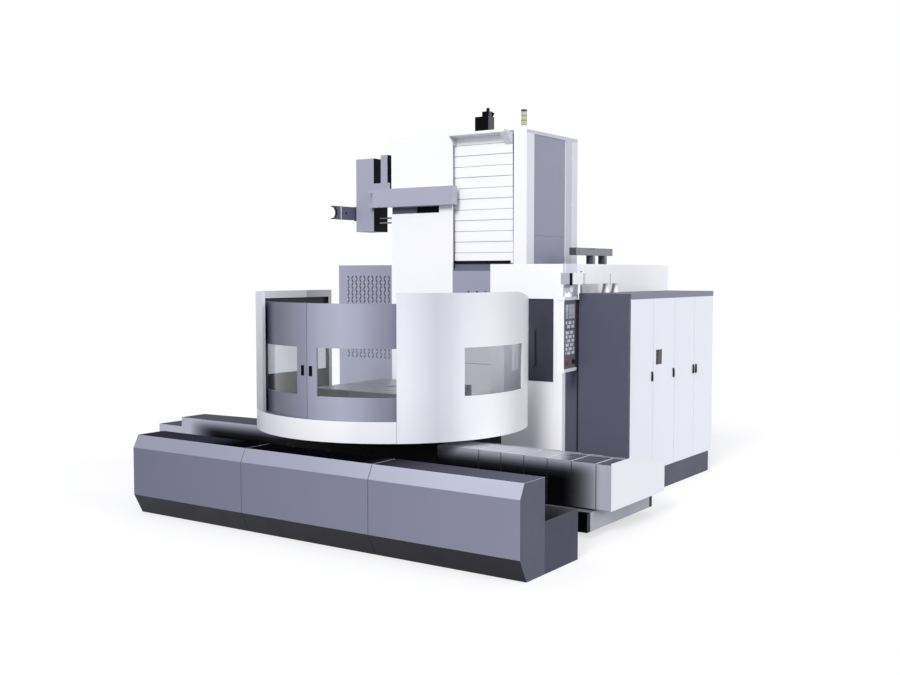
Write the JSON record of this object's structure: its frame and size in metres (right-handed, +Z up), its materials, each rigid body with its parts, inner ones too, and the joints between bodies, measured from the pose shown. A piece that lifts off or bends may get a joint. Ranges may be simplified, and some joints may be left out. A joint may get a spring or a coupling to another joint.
{
  "type": "horizontal boring mill",
  "caption": "Horizontal boring mill: a rotary table in a round splash guard on an X bed, a travelling column with headstock and tool changer, fences, pendant and electrical cabinet.",
  "frame": {"origin": "on the floor, under the rotary table axis, at the bottom of the foot there", "axes": "+Z up, +X right along the front bed, +Y from the operator side towards the column"},
  "size_m": [5.914, 5.957, 4.285],
  "materials": {
    "white_enamel": "satin powder coat",
    "grey_enamel": "satin powder coat",
    "slate_enamel": "satin powder coat",
    "cast_bed": "painted casting",
    "black_steel": "matte paint",
    "black_enamel": "satin paint",
    "cover_sheet": "satin paint on sheet",
    "ground_iron": "ground",
    "clear_glass": "polished",
    "white_slats": "satin paint on sheet",
    "headstock_enamel": "satin paint",
    "ground_steel": "ground",
    "green_lens": "ribbed lens",
    "gripper_enamel": "satin paint",
    "tinted_acrylic": "smoked acrylic",
    "pendant_enamel": "satin paint",
    "red_plastic": "moulded",
    "black_plastic": "moulded",
    "door_enamel": "satin powder coat"
  },
  "bodies": {
    "root": {"guard_panel_left": "grey_enamel", "guard_panel_middle": "grey_enamel", "guard_panel_right": "grey_enamel", "chip_trough": "slate_enamel", "x_bed": "cast_bed", "levelling_feet": "black_steel", "x_cover_right_end": "cover_sheet", "x_cover_left_end": "cover_sheet", "z_bed": "cast_bed", "perforated_guard": "grey_enamel", "operator_wall": "white_enamel", "side_fence": "white_enamel", "boom_arm": "white_enamel", "service_bridge": "slate_enamel", "cabinet": "slate_enamel"},
    "table_saddle": {"saddle": "black_enamel", "saddle_covers": "cover_sheet", "enclosure_base": "white_enamel", "side_frame": "white_enamel", "right_shell": "white_enamel", "fixed_windows": "clear_glass"},
    "rotary_table": {"rotary_table": "ground_iron"},
    "left_door": {"left_door": "grey_enamel", "left_door_pane": "clear_glass"},
    "right_door": {"right_door": "grey_enamel", "right_door_pane": "clear_glass"},
    "column": {"column": "cast_bed", "column_cladding": "white_enamel", "column_side_panels": "grey_enamel", "roof_and_canopy": "white_enamel", "fixed_slat_covers": "white_slats", "y_drive_motor": "black_enamel", "beacon_base": "white_enamel", "beacon_lens": "green_lens", "tool_tower": "white_enamel"},
    "headstock": {"headstock": "headstock_enamel", "headstock_slat_covers": "white_slats"},
    "spindle": {"spindle": "ground_steel"},
    "boring_bar": {"boring_bar": "ground_steel"},
    "changer": {"changer_beam": "grey_enamel", "changer_housing": "grey_enamel"},
    "gripper": {"gripper_arm": "gripper_enamel"},
    "hatch": {"hatch": "tinted_acrylic"},
    "pendant": {"pendant": "pendant_enamel"},
    "e_stop_button": {"e_stop_button": "red_plastic"},
    "override_knob": {"override_knob": "black_plastic"},
    "x_cover_1": {"x_cover_1": "cover_sheet"},
    "x_cover_2": {"x_cover_2": "cover_sheet"},
    "x_cover_3": {"x_cover_3": "cover_sheet"},
    "x_cover_4": {"x_cover_4": "cover_sheet"},
    "x_cover_5": {"x_cover_5": "cover_sheet"},
    "slat_cover_1": {"slat_cover_1": "white_slats"},
    "slat_cover_2": {"slat_cover_2": "white_slats"},
    "slat_cover_3": {"slat_cover_3": "white_slats"},
    "slat_cover_4": {"slat_cover_4": "white_slats"},
    "lower_slat_cover": {"lower_slat_cover": "white_slats"},
    "cabinet_door_1": {"cabinet_door_1": "door_enamel"},
    "cabinet_door_2": {"cabinet_door_2": "door_enamel"},
    "cabinet_door_3": {"cabinet_door_3": "door_enamel"},
    "cabinet_door_4": {"cabinet_door_4": "door_enamel"}
  },
  "joints": [
    {"name": "table_travel", "type": "slide", "parent": "root", "child": "table_saddle", "axis": [1, 0, 0], "range_m": [-0.3, 0.88]},
    {"name": "x_cover_1_travel", "type": "slide", "parent": "root", "child": "x_cover_1", "axis": [1, 0, 0], "range_m": [-0.251, 0.73433]},
    {"name": "x_cover_2_travel", "type": "slide", "parent": "root", "child": "x_cover_2", "axis": [1, 0, 0], "range_m": [-0.201, 0.58767]},
    {"name": "x_cover_3_travel", "type": "slide", "parent": "root", "child": "x_cover_3", "axis": [1, 0, 0], "range_m": [-0.151, 0.441]},
    {"name": "x_cover_4_travel", "type": "slide", "parent": "root", "child": "x_cover_4", "axis": [1, 0, 0], "range_m": [-0.101, 0.29433]},
    {"name": "x_cover_5_travel", "type": "slide", "parent": "root", "child": "x_cover_5", "axis": [1, 0, 0], "range_m": [-0.051, 0.14767]},
    {"name": "table_rotation", "type": "hinge", "parent": "table_saddle", "child": "rotary_table", "pos_m": [0, 0, 0], "axis": [0, 0, 1], "continuous": true},
    {"name": "left_door_slide", "type": "hinge", "parent": "table_saddle", "child": "left_door", "pos_m": [0, 0, 0], "axis": [0, 0, 1], "range_deg": [0, 76]},
    {"name": "right_door_slide", "type": "hinge", "parent": "table_saddle", "child": "right_door", "pos_m": [0, 0, 0], "axis": [0, 0, 1], "range_deg": [0, 37]},
    {"name": "column_travel", "type": "slide", "parent": "root", "child": "column", "axis": [0, 1, 0], "range_m": [-0.6, 0.5]},
    {"name": "headstock_travel", "type": "slide", "parent": "column", "child": "headstock", "axis": [0, 0, 1], "range_m": [-0.2, 0.95]},
    {"name": "slat_cover_1_travel", "type": "slide", "parent": "column", "child": "slat_cover_1", "axis": [0, 0, 1], "range_m": [-0.161, 0.761]},
    {"name": "slat_cover_2_travel", "type": "slide", "parent": "column", "child": "slat_cover_2", "axis": [0, 0, 1], "range_m": [-0.121, 0.571]},
    {"name": "slat_cover_3_travel", "type": "slide", "parent": "column", "child": "slat_cover_3", "axis": [0, 0, 1], "range_m": [-0.081, 0.381]},
    {"name": "slat_cover_4_travel", "type": "slide", "parent": "column", "child": "slat_cover_4", "axis": [0, 0, 1], "range_m": [-0.041, 0.191]},
    {"name": "lower_slat_cover_travel", "type": "slide", "parent": "column", "child": "lower_slat_cover", "axis": [0, 0, 1], "range_m": [-0.101, 0.476]},
    {"name": "spindle_rotation", "type": "hinge", "parent": "headstock", "child": "spindle", "pos_m": [0, 1.5, 1.9], "axis": [0, -1, 0], "continuous": true},
    {"name": "boring_bar_feed", "type": "slide", "parent": "spindle", "child": "boring_bar", "axis": [0, -1, 0], "range_m": [0, 0.5]},
    {"name": "changer_travel", "type": "slide", "parent": "column", "child": "changer", "axis": [-1, 0, 0], "range_m": [0, 0.4]},
    {"name": "gripper_lift", "type": "slide", "parent": "changer", "child": "gripper", "axis": [0, 0, 1], "range_m": [-0.1, 0.45]},
    {"name": "hatch_hinge", "type": "hinge", "parent": "root", "child": "hatch", "pos_m": [1.3267, 1.111, 0], "axis": [0, 0, -1], "range_deg": [0, 95]},
    {"name": "pendant_swivel", "type": "hinge", "parent": "root", "child": "pendant", "pos_m": [1.614, 0.876, 0], "axis": [0, 0, 1], "range_deg": [-100, 40]},
    {"name": "e_stop_travel", "type": "slide", "parent": "pendant", "child": "e_stop_button", "axis": [-0.989, -0.1478, 0], "range_m": [0, 0.004], "stiffness_N_per_m": 800},
    {"name": "override_turn", "type": "hinge", "parent": "pendant", "child": "override_knob", "pos_m": [1.62393, 0.95837, 1.424], "axis": [0.989, 0.1478, 0], "range_deg": [-135, 135]},
    {"name": "cabinet_door_1_hinge", "type": "hinge", "parent": "root", "child": "cabinet_door_1", "pos_m": [2.228, 1.0825, 0], "axis": [0, 0, -1], "range_deg": [0, 110]},
    {"name": "cabinet_door_2_hinge", "type": "hinge", "parent": "root", "child": "cabinet_door_2", "pos_m": [2.228, 1.64775, 0], "axis": [0, 0, -1], "range_deg": [0, 110]},
    {"name": "cabinet_door_3_hinge", "type": "hinge", "parent": "root", "child": "cabinet_door_3", "pos_m": [2.228, 2.213, 0], "axis": [0, 0, -1], "range_deg": [0, 110]},
    {"name": "cabinet_door_4_hinge", "type": "hinge", "parent": "root", "child": "cabinet_door_4", "pos_m": [2.228, 3.3405, 0], "axis": [0, 0, 1], "range_deg": [0, 110]}
  ],
  "couplings": [
    {"joint": "x_cover_1_travel", "follows": "table_travel", "ratio": 0.83333},
    {"joint": "x_cover_2_travel", "follows": "table_travel", "ratio": 0.66667},
    {"joint": "x_cover_3_travel", "follows": "table_travel", "ratio": 0.5},
    {"joint": "x_cover_4_travel", "follows": "table_travel", "ratio": 0.33333},
    {"joint": "x_cover_5_travel", "follows": "table_travel", "ratio": 0.16667},
    {"joint": "slat_cover_1_travel", "follows": "headstock_travel", "ratio": 0.8},
    {"joint": "slat_cover_2_travel", "follows": "headstock_travel", "ratio": 0.6},
    {"joint": "slat_cover_3_travel", "follows": "headstock_travel", "ratio": 0.4},
    {"joint": "slat_cover_4_travel", "follows": "headstock_travel", "ratio": 0.2},
    {"joint": "lower_slat_cover_travel", "follows": "headstock_travel", "ratio": 0.5}
  ]
}
